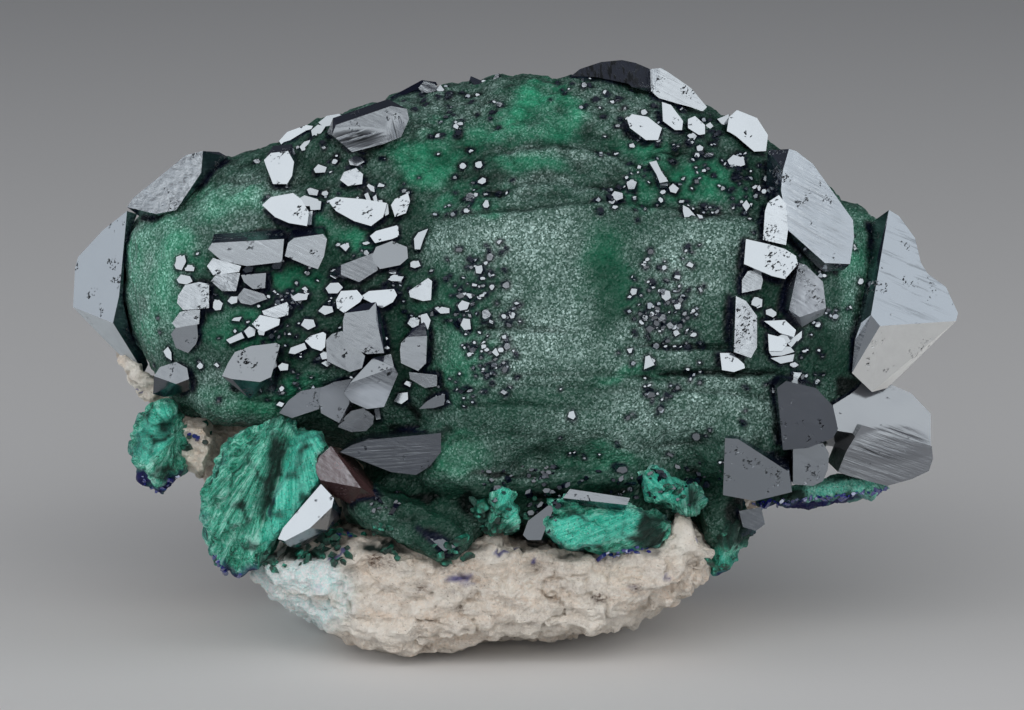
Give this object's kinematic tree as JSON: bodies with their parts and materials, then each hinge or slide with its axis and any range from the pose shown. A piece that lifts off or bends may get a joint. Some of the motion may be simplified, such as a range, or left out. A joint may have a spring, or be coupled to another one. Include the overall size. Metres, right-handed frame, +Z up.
{
  "type": "azurite specimen",
  "caption": "A domed, banded mass of velvety green malachite on a pale rock base, set with glossy dark blue azurite crystals in bands and at both ends, with broken fibrous malachite below.",
  "frame": {"origin": "under the middle of the specimen's width and depth, on the plane that its flat base rests on", "axes": "+Z up, -Y towards the front that the picture shows, +X to the right as seen from the front"},
  "size_m": [0.1094, 0.0558, 0.0711],
  "materials": {
    "matrix": "rough",
    "malachite": "matte",
    "fibrous_malachite": "satin",
    "azurite": "polished"
  },
  "bodies": {
    "root": {"matrix_rock": "matrix", "malachite_dome": "malachite", "malachite_left_fan": "fibrous_malachite", "malachite_left_ball": "fibrous_malachite", "malachite_front_chunk": "fibrous_malachite", "malachite_right_tuft": "fibrous_malachite", "malachite_centre_tuft": "fibrous_malachite", "malachite_lower_right_lobe": "fibrous_malachite", "malachite_lower_right_sheet": "fibrous_malachite", "azurite_left_end_plate": "azurite", "azurite_upper_left_plate": "azurite", "azurite_long_left": "azurite", "azurite_left_band_1": "azurite", "azurite_left_band_3": "azurite", "azurite_left_band_4": "azurite", "azurite_left_band_7": "azurite", "azurite_left_band_8": "azurite", "azurite_left_band_9": "azurite", "azurite_left_band_16": "azurite", "azurite_left_band_18": "azurite", "azurite_left_band_19": "azurite", "azurite_left_band_21": "azurite", "azurite_spade": "azurite", "azurite_left_band_24": "azurite", "azurite_tower_1": "azurite", "azurite_tower_7": "azurite", "azurite_left_band_26": "azurite", "azurite_left_band_28": "azurite", "azurite_summit_left_1": "azurite", "azurite_summit_left_2": "azurite", "azurite_summit_left_3": "azurite", "azurite_summit_left_4": "azurite", "azurite_summit_left_5": "azurite", "azurite_summit_left_6": "azurite", "azurite_summit_left_7": "azurite", "azurite_summit_ridge": "azurite", "azurite_crown_plate_1": "azurite", "azurite_summit_right_1": "azurite", "azurite_summit_right_2": "azurite", "azurite_summit_right_3": "azurite", "azurite_summit_right_5": "azurite", "azurite_right_shoulder_plate": "azurite", "azurite_right_band_2": "azurite", "azurite_right_band_5": "azurite", "azurite_right_band_6": "azurite", "azurite_right_band_7": "azurite", "azurite_right_band_8": "azurite", "azurite_right_end_plate": "azurite", "azurite_right_band_10": "azurite", "azurite_lower_right_1": "azurite", "azurite_lower_right_3": "azurite", "azurite_lower_right_5": "azurite", "azurite_dark_wedge": "azurite", "azurite_striated_blade": "azurite", "azurite_silver_blade": "azurite", "azurite_under_left": "azurite", "azurite_front_prism": "azurite", "azurite_front_blade": "azurite", "azurite_dark_prism": "azurite"}
  },
  "joints": []
}
